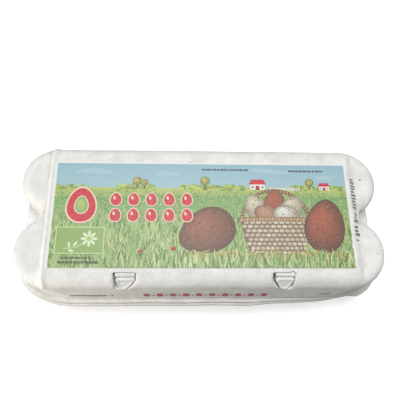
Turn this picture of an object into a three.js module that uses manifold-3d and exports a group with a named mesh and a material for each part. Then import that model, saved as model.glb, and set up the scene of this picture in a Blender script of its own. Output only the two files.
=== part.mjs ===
// A shut egg carton of moulded pulp for two rows of five eggs, with a paper label on its lid.
// Millimetres, +Z up, X along the carton, the front with its two latches towards -Y.
// The origin is on the table, under the middle of the carton.
import * as THREE from "three";
import { mergeVertices } from "three/addons/utils/BufferGeometryUtils.js";
import Module from "manifold-3d";

const wasm = await Module();
wasm.setup();

// Driving dimensions of the whole carton
const cartonLength = 256;
const cartonDepth = 114.4;
const panelHeight = 68.4; // the flat top that carries the label
const lobeHeight = 65; // the rounded ends, a step below the flat top
const partingHeight = 32; // where lid and tray meet
const partingGap = 0.6;
const pieceGap = 0.3; // clearance of the latches and the hinge

// Rim: a long lip on the lid and one on the tray, with elliptical corners
const rimCornerX = 41;
const rimCornerY = 24;
const rimSteps = 13; // segments round each corner
const lipThickness = 2.1;
const lidSetback = 1.8; // the tray's lip shows outside the lid's
const wallFootSetback = 4.6; // from the rim's long edges to the foot of the lid's wall
const wallTipSetback = 3.6; // and from its short ends

// Lid ends: two lobes with a notch between them, wider and squarer at the foot of the wall
const lobeCentreX = 99.4;
const lobeCentreY = 24.8;
const lobeRadiusX = 24.9; // at the foot of the lobes' shoulder
const lobeRadiusY = 24.4;
const footCornerX = 41; // outer corners at the foot of the wall
const notchHalfWidth = 4.1;
const notchEndX = 110; // how far in the notch reaches
const notchEndStep = 0.3; // least length of the notch's straight sides
const lobeShoulderRadius = 7;
const lobeDish = 1.3; // the top of each lobe is a little hollow
const lobeDishWidth = 3.5;
const outerSteps = 8; // segments on a lobe's outer quarter
const innerSteps = 7; // and on its quarter towards the notch
const shoulderSteps = 5;
const panelSteps = 7;
const cornerSteps = 4; // on a plain rounded corner

// Flat top with its long rounded shoulders, sloping short ends and a low ridge by the left one
const panelHalfDepth = 37.8;
const panelShoulderRadius = 11.4;
const panelHalfLength = 103;
const panelCornerRadius = 2;
const ridgeWidth = 1.8;
const ridgeRise = 0.7;
const ridgeX = -101.8;

// Paper label, its picture field and its white margin together
const labelLength = 199.6;
const labelWidth = 73.6;
const labelThickness = 0.35;
const labelGap = 0.1;
const labelCentreY = -1.1;
const labelCornerRadius = 0.8;

// Egg cups of the tray
const cupColumns = 5;
const cupPitchX = 49.5;
const cupPitchY = 52;
const cupTopRadius = 24.5;
const cupFootRadius = 13.5;
const cupFootRounding = 3;
const cupBulge = 0.72; // under 1 the cup's side swells outwards
const cupSegments = 28;
const cupRings = 5;
const cupFootSteps = 2;
const coreSetback = 10; // the mass between the cups, under the rim
const coreTaper = 9;
const coreFloor = 13;
const coreFootCorner = 12;
const coreCorner = 16;
const postMouthRadius = 9; // hollow posts between four cups, open below
const postTipRadius = 3.5;
const postTipHeight = 28;
const postMouthHeight = 12; // a little below the floor of the mass, so that the cut goes through
const postSegments = 16;

// Latches: a window in the lid's front shoulder, and the tray's tongue that shows in it. Heights
// along the slope are from the window's middle, and faces lie below the shoulder's tangent plane.
const latchSpacing = 103;
const latchShift = 1.4; // both latches sit a little to the right
const latchTilt = THREE.MathUtils.degToRad(52); // of the window, from the flat top
const windowWidth = 14.8;
const windowHeight = 14.2;
const windowTaper = 1.4; // its outer side leans in towards the foot
const windowInnerCorner = 1; // below this height its inner side follows the tongue
const windowFootReach = 1.4; // of its foot, past the middle
const windowDepth = 9;
const cutterDepth = 16; // from the window's floor outwards, well past the shoulder
const tongueWidth = 12.2;
const tongueShift = 0.6; // both tongues sit a little to the right in their windows
const tongueTipX = 0.8; // and each tip points a little outwards
const tongueFoot = -6.4;
const tongueFace = -0.6;
const tongueTopRounding = 1.2;
const tongueTipRounding = 2;
const tongueBevel = 0.7;
const tongueBevelSteps = 2;
const tongueCurveSteps = 4;
const recessInset = 1.9; // the tongue's face is hollowed inside a raised edge
const recessDepth = 0.5;
const barWidth = 12.6; // the strip across the window's top, above the tongue
const barHeight = 1.9;
const barGap = 0.8; // above and below the strip
const barFace = -1.5;
const webWidth = 9.6; // what joins the strip to the tongue, low in the window
const webFace = -6;

// Folded hinge along the back, moulded in one with the tray
const hingeLength = 168;
const hingeDepth = 2;
const hingeInset = 1; // how far the fold reaches into the tray's lip
const hingeSteps = 5;

const weldDistance = 1e-4; // vertices nearer than this are one
const pulpColour = 0xdfded8;
const paperColour = 0x9fbf78;

const pulp = new THREE.MeshStandardMaterial({ color: pulpColour, roughness: 0.95, metalness: 0 });
const paper = new THREE.MeshStandardMaterial({ color: paperColour, roughness: 0.55, metalness: 0 });

const halfLength = cartonLength / 2;
const halfDepth = cartonDepth / 2;
const lidFloor = partingHeight + partingGap / 2;
const wallFootHeight = lidFloor + lipThickness;
const lobeShoulderHeight = lobeHeight - lobeShoulderRadius;
const panelShoulderHeight = panelHeight - panelShoulderRadius;
const panelEndSlope = (notchEndX - panelHalfLength) / (panelHeight - lobeShoulderHeight);

// Turns a three.js geometry into a solid, so that it can be joined or cut
function solidOf(geometry) {
  const bare = geometry.clone();
  bare.deleteAttribute("normal");
  bare.deleteAttribute("uv");
  const merged = mergeVertices(bare, weldDistance);
  return new wasm.Manifold(
    new wasm.Mesh({
      numProp: 3,
      vertProperties: new Float32Array(merged.attributes.position.array),
      triVerts: new Uint32Array(merged.index.array),
    }),
  );
}

// Turns a solid back into a three.js geometry
function geometryOf(solid) {
  const { vertProperties, triVerts } = solid.getMesh();
  const geometry = new THREE.BufferGeometry();
  geometry.setAttribute("position", new THREE.BufferAttribute(vertProperties, 3));
  geometry.setIndex(new THREE.BufferAttribute(triVerts, 1));
  geometry.computeVertexNormals();
  return geometry;
}

// Points along an elliptical arc, both ends included
function ellipseArc(centreX, centreY, radiusX, radiusY, from, to, steps) {
  return Array.from({ length: steps + 1 }, (_, i) => {
    const angle = THREE.MathUtils.lerp(from, to, i / steps);
    return new THREE.Vector2(
      centreX + radiusX * Math.cos(angle),
      centreY + radiusY * Math.sin(angle),
    );
  });
}

// Repeats the points of one quarter of a plan, given from -Y round to +X, in all four quarters
function fourQuarters(quarter) {
  const turned = (sideX, sideY) => quarter.map((p) => new THREE.Vector2(sideX * p.x, sideY * p.y));
  return [
    ...turned(1, 1),
    ...turned(1, -1).reverse(),
    ...turned(-1, -1),
    ...turned(-1, 1).reverse(),
  ];
}

// The rim's plan, taken in by setback all round
function rimPlan(setback) {
  const centreX = halfLength - rimCornerX;
  const centreY = halfDepth - rimCornerY;
  const [radiusX, radiusY] = [rimCornerX - setback, rimCornerY - setback];
  return fourQuarters(
    ellipseArc(centreX, -centreY, radiusX, radiusY, -Math.PI / 2, 0, rimSteps),
  );
}

// The lid's plan. The share goes from 0 at the foot of the wall to 1 at the shoulder of its
// lobes, and the plan is then taken in by setback.
function lidPlan(share, setback) {
  const tipX = THREE.MathUtils.lerp(halfLength - wallTipSetback, lobeCentreX + lobeRadiusX, share);
  const front = THREE.MathUtils.lerp(halfDepth - wallFootSetback, lobeCentreY + lobeRadiusY, share);
  const outerX = THREE.MathUtils.lerp(footCornerX, lobeRadiusX, share);
  const outer = ellipseArc(
    tipX - outerX,
    -lobeCentreY,
    outerX - setback,
    front - lobeCentreY - setback,
    -Math.PI / 2,
    0,
    outerSteps,
  );
  const innerX = tipX - lobeCentreX - setback;
  const innerY = lobeRadiusY - setback;
  const reach = Math.asin(Math.min(1, (lobeCentreY - notchHalfWidth) / innerY));
  const inner = ellipseArc(lobeCentreX, -lobeCentreY, innerX, innerY, 0, reach, innerSteps);
  const mouth = inner.at(-1);
  const end = new THREE.Vector2(Math.min(notchEndX, mouth.x - notchEndStep), mouth.y);
  return fourQuarters([...outer, ...inner.slice(1), end]);
}

// A rectangle with rounded corners, as points in turn
function roundedRectangle(halfX, halfY, radius, steps) {
  const points = [];
  const corners = [
    [1, -1, -0.5],
    [1, 1, 0],
    [-1, 1, 0.5],
    [-1, -1, 1],
  ];
  for (const [sideX, sideY, start] of corners) {
    for (let i = 0; i <= steps; i++) {
      const angle = Math.PI * (start + (0.5 * i) / steps);
      points.push(
        new THREE.Vector2(
          sideX * (halfX - radius) + radius * Math.cos(angle),
          sideY * (halfY - radius) + radius * Math.sin(angle),
        ),
      );
    }
  }
  return points;
}

// A closed solid through level rings of equally many points, each ring { points, z }
function loft(rings) {
  const count = rings[0].points.length;
  const positions = rings.flatMap(({ points, z }) => points.flatMap((p) => [p.x, p.y, z]));
  const index = [];
  for (let r = 0; r + 1 < rings.length; r++) {
    for (let i = 0; i < count; i++) {
      const next = (i + 1) % count;
      const [a, b] = [r * count + i, r * count + next];
      index.push(a, b, b + count, a, b + count, a + count);
    }
  }
  const last = (rings.length - 1) * count;
  for (const [a, b, c] of THREE.ShapeUtils.triangulateShape(rings[0].points, [])) {
    index.push(a, c, b);
  }
  for (const [a, b, c] of THREE.ShapeUtils.triangulateShape(rings.at(-1).points, [])) {
    index.push(last + a, last + b, last + c);
  }
  const geometry = new THREE.BufferGeometry();
  geometry.setAttribute("position", new THREE.Float32BufferAttribute(positions, 3));
  geometry.setIndex(index);
  return geometry;
}

// The lid's wall and its rounded ends, up to the height of the lobes
function lidBody() {
  const rings = [{ points: lidPlan(0, 0), z: lidFloor }];
  for (const share of [0, 0.5]) {
    const z = THREE.MathUtils.lerp(wallFootHeight, lobeShoulderHeight, share);
    rings.push({ points: lidPlan(share, 0), z });
  }
  for (let i = 0; i <= shoulderSteps; i++) {
    const angle = (Math.PI / 2) * (i / shoulderSteps);
    rings.push({
      points: lidPlan(1, lobeShoulderRadius * (1 - Math.cos(angle))),
      z: lobeShoulderHeight + lobeShoulderRadius * Math.sin(angle),
    });
  }
  rings.push({ points: lidPlan(1, lobeShoulderRadius + lobeDishWidth), z: lobeHeight - lobeDish });
  return solidOf(loft(rings));
}

// The flat top: sloping short ends, cut to the soft shoulder that runs round the whole lid
function panelBody() {
  const wedge = [];
  const shoulder = [];
  for (let i = 0; i <= panelSteps; i++) {
    const angle = (Math.PI / 2) * (i / panelSteps);
    const z = panelShoulderHeight + panelShoulderRadius * Math.sin(angle);
    const setback = panelShoulderRadius * (1 - Math.cos(angle));
    const halfX = Math.min(notchEndX, panelHalfLength + (panelHeight - z) * panelEndSlope);
    wedge.push({
      points: roundedRectangle(halfX, halfDepth, panelCornerRadius, cornerSteps),
      z,
    });
    shoulder.push({
      points: roundedRectangle(
        lobeCentreX + lobeRadiusX - setback,
        panelHalfDepth + panelShoulderRadius - setback,
        lobeRadiusY - setback,
        outerSteps,
      ),
      z,
    });
  }
  return solidOf(loft(wedge)).intersect(solidOf(loft(shoulder)));
}

// A low ridge over the flat top and down both of its shoulders
function endRidge() {
  const reach = panelShoulderRadius + ridgeRise;
  const rings = [];
  for (let i = 0; i <= panelSteps; i++) {
    const angle = (Math.PI / 2) * (i / panelSteps);
    const halfY = panelHalfDepth + reach * Math.cos(angle);
    rings.push({
      points: [
        new THREE.Vector2(-ridgeWidth / 2, -halfY),
        new THREE.Vector2(ridgeWidth / 2, -halfY),
        new THREE.Vector2(ridgeWidth / 2, halfY),
        new THREE.Vector2(-ridgeWidth / 2, halfY),
      ],
      z: panelShoulderHeight + reach * Math.sin(angle),
    });
  }
  return solidOf(loft(rings).translate(ridgeX, 0, 0));
}

// A lip that runs round the rim
function lip(setback, z) {
  const shape = new THREE.Shape(rimPlan(setback));
  const geometry = new THREE.ExtrudeGeometry(shape, { depth: lipThickness, bevelEnabled: false });
  return solidOf(geometry.translate(0, 0, z));
}

// What is cut from the back of the lid's lip to make room for the folded hinge
function hingeRoom() {
  const room = new THREE.BoxGeometry(
    hingeLength + 2 * pieceGap,
    2 * hingeDepth,
    4 * lipThickness,
  );
  return solidOf(room.translate(0, halfDepth - pieceGap, partingHeight));
}

// Moves a latch piece, drawn face on with its foot towards -Y, onto the lid's front shoulder
function onShoulder(geometry, side) {
  return geometry
    .rotateX(latchTilt)
    .translate(
      latchShift + (side * latchSpacing) / 2,
      -panelHalfDepth - panelShoulderRadius * Math.sin(latchTilt),
      panelShoulderHeight + panelShoulderRadius * Math.cos(latchTilt),
    );
}

// The opening for a latch: its outer side is nearly upright, its inner side slants to the foot
function latchWindow(side) {
  const half = windowWidth / 2;
  const top = windowHeight / 2;
  const shape = new THREE.Shape([
    new THREE.Vector2(side * half, top),
    new THREE.Vector2(side * (half - windowTaper), -top),
    new THREE.Vector2(-side * windowFootReach, -top),
    new THREE.Vector2(-side * half, windowInnerCorner),
    new THREE.Vector2(-side * half, top),
  ]);
  const cutter = new THREE.ExtrudeGeometry(shape, { depth: cutterDepth, bevelEnabled: false });
  return solidOf(onShoulder(cutter.translate(0, 0, -windowDepth), side));
}

// The tongue's outline, a rounded triangle that points down, taken in by inset all round
function tongueOutline(side, inset) {
  const half = tongueWidth / 2 - inset;
  const top = windowHeight / 2 - 2 * barGap - barHeight - inset;
  const foot = tongueFoot + inset;
  const corner = tongueTopRounding;
  const tip = tongueTipRounding;
  const tipX = side * tongueTipX - tongueShift;
  const shape = new THREE.Shape();
  shape.moveTo(-half + corner, top);
  shape.quadraticCurveTo(-half, top, -half, top - corner);
  shape.lineTo(tipX - tip, foot + tip / 2);
  shape.quadraticCurveTo(tipX, foot - tip / 2, tipX + tip, foot + tip / 2);
  shape.lineTo(half, top - corner);
  shape.quadraticCurveTo(half, top, half - corner, top);
  shape.closePath();
  return shape;
}

// The tray's tongue in a window: a triangle with a raised edge, and the strip above it
function latchTongue(side) {
  const floor = -windowDepth + pieceGap;
  const plate = new THREE.ExtrudeGeometry(tongueOutline(side, tongueBevel), {
    depth: tongueFace - floor - 2 * tongueBevel,
    bevelEnabled: true,
    bevelSize: tongueBevel,
    bevelThickness: tongueBevel,
    bevelSegments: tongueBevelSteps,
    curveSegments: tongueCurveSteps,
  });
  plate.translate(0, 0, floor + tongueBevel);
  const recess = new THREE.ExtrudeGeometry(tongueOutline(side, recessInset), {
    depth: windowDepth,
    bevelEnabled: false,
    curveSegments: tongueCurveSteps,
  });
  recess.translate(0, 0, tongueFace - recessDepth);
  const barMiddle = windowHeight / 2 - barGap - barHeight / 2;
  const bar = new THREE.BoxGeometry(barWidth, barHeight, barFace - floor);
  bar.translate(0, barMiddle, (barFace + floor) / 2);
  const webHeight = barHeight + 2 * barGap;
  const web = new THREE.BoxGeometry(webWidth, webHeight, webFace - floor);
  web.translate(0, barMiddle - webHeight / 2, (webFace + floor) / 2);
  const joined = solidOf(plate).subtract(solidOf(recess)).add(solidOf(bar)).add(solidOf(web));
  return onShoulder(geometryOf(joined).translate(tongueShift, 0, 0), side);
}

// The outside of one egg cup, from its flat foot to the rim
function eggCup(x, y) {
  const profile = [new THREE.Vector2(0, 0), new THREE.Vector2(cupFootRadius - cupFootRounding, 0)];
  for (let i = 1; i <= cupFootSteps; i++) {
    const angle = (Math.PI / 2) * (i / cupFootSteps);
    profile.push(
      new THREE.Vector2(
        cupFootRadius - cupFootRounding * (1 - Math.sin(angle)),
        cupFootRounding * (1 - Math.cos(angle)),
      ),
    );
  }
  const rim = partingHeight - lipThickness / 2;
  for (let i = 1; i <= cupRings; i++) {
    const share = i / cupRings;
    const radius = THREE.MathUtils.lerp(cupFootRadius, cupTopRadius, share ** cupBulge);
    profile.push(new THREE.Vector2(radius, THREE.MathUtils.lerp(cupFootRounding, rim, share)));
  }
  profile.push(new THREE.Vector2(0, rim));
  const cup = new THREE.LatheGeometry(profile, cupSegments);
  return solidOf(cup.rotateX(Math.PI / 2).translate(x, y, 0));
}

// A hollow post between four cups, as the tool that cuts it from below
function postHollow(x) {
  const height = postTipHeight - postMouthHeight;
  const cone = new THREE.CylinderGeometry(postTipRadius, postMouthRadius, height, postSegments);
  return solidOf(cone.rotateX(Math.PI / 2).translate(x, 0, postTipHeight - height / 2));
}

function lidSolid() {
  let lid = lidBody().add(panelBody()).add(lip(lidSetback, lidFloor)).add(endRidge());
  for (const side of [-1, 1]) {
    lid = lid.subtract(latchWindow(side));
  }
  return lid.subtract(hingeRoom());
}

// The mass between the cups, under the rim
function trayCore(lipZ) {
  const level = (setback, cornerRadius, z) => ({
    points: roundedRectangle(halfLength - setback, halfDepth - setback, cornerRadius, cornerSteps),
    z,
  });
  return solidOf(
    loft([
      level(coreSetback + coreTaper, coreFootCorner, coreFloor),
      level(coreSetback, coreCorner, lipZ + lipThickness / 2),
    ]),
  );
}

// The fold that joins lid and tray along the back: a strip with a round outer edge
function hingeFold() {
  const half = lipThickness + partingGap / 2;
  const inner = halfDepth - hingeDepth - hingeInset;
  const outer = halfDepth - hingeDepth;
  const shape = new THREE.Shape();
  shape.moveTo(outer, 0);
  shape.lineTo(outer, half);
  shape.quadraticCurveTo(halfDepth, half, halfDepth, 0);
  shape.quadraticCurveTo(halfDepth, -half, outer, -half);
  shape.lineTo(inner, -half);
  shape.lineTo(inner, -half + lipThickness / 2);
  shape.lineTo(outer, -half + lipThickness / 2);
  shape.closePath();
  const strip = new THREE.ExtrudeGeometry(shape, {
    depth: hingeLength,
    bevelEnabled: false,
    curveSegments: hingeSteps,
  });
  // The section is drawn in Y and Z, and the strip runs along X
  const turn = new THREE.Matrix4().makeBasis(
    new THREE.Vector3(0, 1, 0),
    new THREE.Vector3(0, 0, 1),
    new THREE.Vector3(1, 0, 0),
  );
  return solidOf(strip.applyMatrix4(turn).translate(-hingeLength / 2, 0, partingHeight));
}

function traySolid() {
  const lipZ = partingHeight - partingGap / 2 - lipThickness;
  let tray = lip(0, lipZ).add(trayCore(lipZ)).add(hingeFold());
  for (let column = 0; column < cupColumns; column++) {
    const x = (column - (cupColumns - 1) / 2) * cupPitchX;
    for (const side of [-1, 1]) {
      tray = tray.add(eggCup(x, (side * cupPitchY) / 2));
    }
    if (column > 0) {
      tray = tray.subtract(postHollow(x - cupPitchX / 2));
    }
  }
  return tray;
}

function labelSheet() {
  const shape = new THREE.Shape(
    roundedRectangle(labelLength / 2, labelWidth / 2, labelCornerRadius, cornerSteps),
  );
  const sheet = new THREE.ExtrudeGeometry(shape, { depth: labelThickness, bevelEnabled: false });
  return sheet.translate(0, labelCentreY, panelHeight + labelGap);
}

const carton = new THREE.Group();

function place(name, geometry, material) {
  const mesh = new THREE.Mesh(geometry, material);
  mesh.name = name;
  carton.add(mesh);
}

place("tray", geometryOf(traySolid()), pulp);
place("lid", geometryOf(lidSolid()), pulp);
place("label", labelSheet(), paper);
place("latch_tongue_left", latchTongue(-1), pulp);
place("latch_tongue_right", latchTongue(1), pulp);

export default carton;
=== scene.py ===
import math
import random

import bmesh
import bpy
from mathutils import Matrix, Vector, geometry, noise
from mathutils.bvhtree import BVHTree


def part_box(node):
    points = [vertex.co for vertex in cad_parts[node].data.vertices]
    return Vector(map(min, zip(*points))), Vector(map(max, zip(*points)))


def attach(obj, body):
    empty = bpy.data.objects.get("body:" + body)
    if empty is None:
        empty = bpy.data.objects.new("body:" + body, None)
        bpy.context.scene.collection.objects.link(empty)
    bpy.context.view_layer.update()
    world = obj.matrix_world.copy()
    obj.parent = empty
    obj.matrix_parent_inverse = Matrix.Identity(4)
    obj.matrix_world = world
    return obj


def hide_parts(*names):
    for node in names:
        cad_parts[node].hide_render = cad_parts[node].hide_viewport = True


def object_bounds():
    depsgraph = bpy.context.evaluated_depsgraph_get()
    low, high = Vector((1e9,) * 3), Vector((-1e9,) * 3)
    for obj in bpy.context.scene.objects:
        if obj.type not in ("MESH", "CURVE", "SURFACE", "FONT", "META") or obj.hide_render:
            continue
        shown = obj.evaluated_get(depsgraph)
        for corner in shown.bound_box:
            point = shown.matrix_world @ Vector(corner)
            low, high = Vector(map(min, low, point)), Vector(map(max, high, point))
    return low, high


# A shut ten-egg carton of moulded pulp with a printed label, dressed over its solids.
# Metres throughout; sizes written in millimetres are multiplied by mm.

mm = 0.001
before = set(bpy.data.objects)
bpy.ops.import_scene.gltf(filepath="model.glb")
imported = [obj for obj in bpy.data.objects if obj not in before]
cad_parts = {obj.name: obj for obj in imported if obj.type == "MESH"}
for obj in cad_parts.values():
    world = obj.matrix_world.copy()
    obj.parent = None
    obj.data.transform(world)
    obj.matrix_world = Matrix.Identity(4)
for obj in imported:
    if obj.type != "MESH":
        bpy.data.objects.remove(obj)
cadLow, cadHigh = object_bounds()
scene = bpy.context.scene
print("frame loaded")


def srgb(red, green, blue):  # 0 to 255 as on a screen, to the linear colour that a shader takes
    channels = [c / 255 for c in (red, green, blue)]
    return [c / 12.92 if c < 0.04045 else ((c + 0.055) / 1.055) ** 2.4 for c in channels] + [1.0]


# camera, at the photograph's viewing angle

cameraSetup = {
    "azimuth": -7.322,
    "elevation": 70.584,
    "roll": 7.305,
    "target": (0, 0, 40 * mm),
    "distance": 319.884 * mm,
    "slideRight": -0.291 * mm,
    "slideUp": 17.569 * mm,
    "lens": 39.49,
    "sensor": 36,
    "clipStart": 10 * mm,
}


def makeCamera(setup):
    azimuth, elevation, roll = (math.radians(setup[k]) for k in ("azimuth", "elevation", "roll"))
    flat = math.cos(elevation)
    back = Vector((math.sin(azimuth) * flat, -math.cos(azimuth) * flat, math.sin(elevation)))
    level = (-back).cross(Vector((0, 0, 1))).normalized()
    upright = level.cross(-back)
    right = level * math.cos(roll) + upright * math.sin(roll)
    up = upright * math.cos(roll) - level * math.sin(roll)
    place = Vector(setup["target"]) + back * setup["distance"]
    place += right * setup["slideRight"] + up * setup["slideUp"]
    data = bpy.data.cameras.new("photoCamera")
    data.lens = setup["lens"]
    data.sensor_width = setup["sensor"]
    data.clip_start = setup["clipStart"]
    camera = bpy.data.objects.new("photoCamera", data)
    turn = Matrix((right, up, back)).transposed().to_4x4()
    camera.matrix_world = Matrix.Translation(place) @ turn
    scene.collection.objects.link(camera)
    scene.camera = camera


makeCamera(cameraSetup)
print("camera set")


# floor and light

studio = {
    "floorSize": 6,
    "floorColour": (0.6, 0.6, 0.6, 1),
    "floorThrow": (0.36, 0.35, 0.335, 1),  # how much light it sends back onto the carton
    "floorGlow": 0.62,
    "floorRoughness": 0.9,
    "skyColour": (0.97, 0.985, 1, 1),
    "skyStrength": 0.17,
    "skySeen": 0.9,  # how bright the sky itself looks
    "lamps": {
        "mainLamp": {"place": (-0.02, 0.15, 1.35), "size": 0.6, "power": 15.9, "colour": (1, 0.995, 0.985)},
        "leftLamp": {"place": (-0.3, -0.19, 0.055), "size": 0.16, "power": 0.62, "colour": (1, 0.94, 0.86)},
        "rightLamp": {"place": (0.33, -0.24, 0.05), "size": 0.16, "power": 0.09, "colour": (1, 1, 1)},
    },
}


def feed(tree, sockets, values):
    # each value is another node's socket or a plain number or colour
    for socket, value in zip(sockets, values):
        if isinstance(value, bpy.types.NodeSocket):
            tree.links.new(value, socket)
        else:
            socket.default_value = value


def feedNode(tree, node, inputs):
    feed(tree, [node.inputs[name] for name in inputs], inputs.values())
    return node


def addNode(tree, kind, inputs=None, **settings):
    node = tree.nodes.new(kind)
    for name, value in settings.items():
        setattr(node, name, value)
    return feedNode(tree, node, inputs or {})


def mixColours(tree, factor, a, b):
    mix = addNode(tree, "ShaderNodeMix", {"Factor": factor}, data_type="RGBA")
    feed(tree, [s for s in mix.inputs if s.type == "RGBA"], (a, b))
    return [s for s in mix.outputs if s.type == "RGBA"][0]


def calculate(tree, operation, *values):
    node = addNode(tree, "ShaderNodeMath", operation=operation)
    feed(tree, node.inputs, values)
    return node.outputs[0]


def scaled(tree, socket, factor):
    return calculate(tree, "MULTIPLY", socket, factor)


def ranged(tree, socket, low, high, most=1):
    # 0 where the socket is at low, most where it is at high
    inputs = {"Value": socket, "From Min": low, "From Max": high, "To Max": most}
    return addNode(tree, "ShaderNodeMapRange", inputs).outputs["Result"]


def newMaterial(name):
    material = bpy.data.materials.new(name)
    material.use_nodes = True
    tree = material.node_tree
    return material, tree, tree.nodes["Principled BSDF"]


def makeStudio(setup):
    bpy.ops.mesh.primitive_plane_add(size=setup["floorSize"])
    floor = bpy.context.object
    floor.name = "floor"
    material, tree, shader = newMaterial("paleFloor")
    seen = addNode(tree, "ShaderNodeLightPath").outputs["Is Camera Ray"]
    feedNode(tree, shader, {
        "Base Color": mixColours(tree, seen, setup["floorThrow"], setup["floorColour"]),
        "Roughness": setup["floorRoughness"],
        "Emission Color": (1, 1, 1, 1),
        "Emission Strength": scaled(tree, seen, setup["floorGlow"]),
    })
    floor.data.materials.append(material)
    world = bpy.data.worlds.new("studioSky")
    world.use_nodes = True
    tree = world.node_tree
    seen = addNode(tree, "ShaderNodeLightPath").outputs["Is Camera Ray"]
    extra = setup["skySeen"] - setup["skyStrength"]
    strength = calculate(tree, "MULTIPLY_ADD", seen, extra, setup["skyStrength"])
    feedNode(tree, tree.nodes["Background"], {"Color": setup["skyColour"], "Strength": strength})
    scene.world = world
    for name, lamp in setup["lamps"].items():
        data = bpy.data.lights.new(name, "AREA")
        data.shape = "DISK"
        data.size = lamp["size"]
        data.energy = lamp["power"]
        data.color = lamp["colour"]
        light = bpy.data.objects.new(name, data)
        light.location = lamp["place"]
        light.rotation_euler = Vector(lamp["place"]).to_track_quat("Z", "Y").to_euler()
        scene.collection.objects.link(light)
    scene.view_settings.view_transform = "Standard"


makeStudio(studio)
print("studio set")


# shader node groups

def groupSocket(group, name, inOut, kind, value=None):
    socket = group.interface.new_socket(name=name, in_out=inOut, socket_type=kind)
    if value is not None:
        socket.default_value = value


pulpSurface = {
    "inputs": {"Mottle Scale": 90, "Fibre Scale": 700, "Speck Scale": 240, "Speck Share": 0.25},
    "mottleDetail": 5,
    "mottleRoughness": 0.6,
    "strandThickness": 0.22,  # of its length
    "strandTurn": (0.3, 0.2, 0.5),
    "strandDetail": 2,
    "strandDistortion": 1.2,
    "fibreRange": (0.5, 0.78),
    "speckRange": (0.16, 0.08),
    "lumpScale": 420,
    "lumpDetail": 4,
    "fibreRelief": 0.45,
}


def makePulpGroup(form):
    # fibres, mottling, dark specks and relief of recycled pulp, on the Vector that it is given
    group = bpy.data.node_groups.new("pulpSurface", "ShaderNodeTree")
    groupSocket(group, "Vector", "INPUT", "NodeSocketVector")
    for name, value in form["inputs"].items():
        groupSocket(group, name, "INPUT", "NodeSocketFloat", value)
    for name in ("Mottle", "Fibre", "Specks", "Height"):
        groupSocket(group, name, "OUTPUT", "NodeSocketFloat")
    given = addNode(group, "NodeGroupInput").outputs
    vector = given["Vector"]

    mottle = addNode(group, "ShaderNodeTexNoise", {
        "Vector": vector,
        "Scale": given["Mottle Scale"],
        "Detail": form["mottleDetail"],
        "Roughness": form["mottleRoughness"],
    })
    strands = []
    for axis in range(3):  # along, across and upright
        stretch = [1, 1, 1]
        stretch[axis] = form["strandThickness"]
        inputs = {"Vector": vector, "Scale": stretch, "Rotation": form["strandTurn"]}
        mapping = addNode(group, "ShaderNodeMapping", inputs)
        strand = addNode(group, "ShaderNodeTexNoise", {
            "Vector": mapping.outputs["Vector"],
            "Scale": given["Fibre Scale"],
            "Detail": form["strandDetail"],
            "Distortion": form["strandDistortion"],
        })
        strands.append(strand.outputs["Fac"])
    highest = calculate(group, "MAXIMUM", calculate(group, "MAXIMUM", strands[0], strands[1]), strands[2])
    fibre = ranged(group, highest, *form["fibreRange"])

    cells = addNode(group, "ShaderNodeTexVoronoi", {"Vector": vector, "Scale": given["Speck Scale"]})
    spot = ranged(group, cells.outputs["Distance"], *form["speckRange"])
    split = addNode(group, "ShaderNodeSeparateColor", {"Color": cells.outputs["Color"]})
    chosen = calculate(group, "LESS_THAN", split.outputs["Red"], given["Speck Share"])

    inputs = {"Vector": vector, "Scale": form["lumpScale"], "Detail": form["lumpDetail"]}
    lumps = addNode(group, "ShaderNodeTexNoise", inputs)
    addNode(group, "NodeGroupOutput", {
        "Mottle": mottle.outputs["Fac"],
        "Fibre": fibre,
        "Specks": calculate(group, "MULTIPLY", spot, chosen),
        "Height": calculate(group, "ADD", lumps.outputs["Fac"], scaled(group, fibre, form["fibreRelief"])),
    })
    return group


pulpGroup = makePulpGroup(pulpSurface)


def bumped(tree, height, relief):
    inputs = {"Height": height, "Strength": relief["strength"], "Distance": relief["distance"]}
    return addNode(tree, "ShaderNodeBump", inputs).outputs["Normal"]


def carried(tree, name):
    # what the piece itself carries at each point
    return addNode(tree, "ShaderNodeAttribute", attribute_name=name).outputs


# besides the pulp's own colours: the shade colour also gives the painted shade of the left hollows, a painted
# highlight colour goes on the left ridge, and a dark colour is painted shade on the lips' sideways faces
pulpFinish = {
    "lidPulp": {
        "pale": srgb(230, 230, 228),
        "shade": srgb(212, 212, 207),
        "fibre": srgb(242, 242, 239),
        "speck": srgb(120, 112, 100),
        "crestHighlight": srgb(248, 248, 245),
        "edge": srgb(140, 137, 130),
        "lipShadeShare": 0.5,
        "fibreScale": 640,
        "speckShare": 0.08,
        "roughness": 0.94,
    },
    "trayPulp": {
        "pale": srgb(224, 223, 218),
        "shade": srgb(204, 202, 195),
        "fibre": srgb(236, 235, 230),
        "speck": srgb(112, 104, 92),
        "crestHighlight": srgb(236, 235, 230),
        "edge": srgb(118, 114, 106),
        "lipShadeShare": 0.8,
        "fibreScale": 560,
        "speckShare": 0.1,
        "roughness": 0.95,
    },
}


pulpLook = {
    # the hollows' share is painted shade, the ridge crest's share a painted highlight
    "fibre": 0.6, "speck": 0.55, "dishShade": 0.45, "crestHighlight": 0.6,  # how much of each colour shows
    "mottleRange": (0.36, 0.66),
    "relief": {"strength": 0.45, "distance": 0.35 * mm},
    "sheen": 0.25,
}


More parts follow.
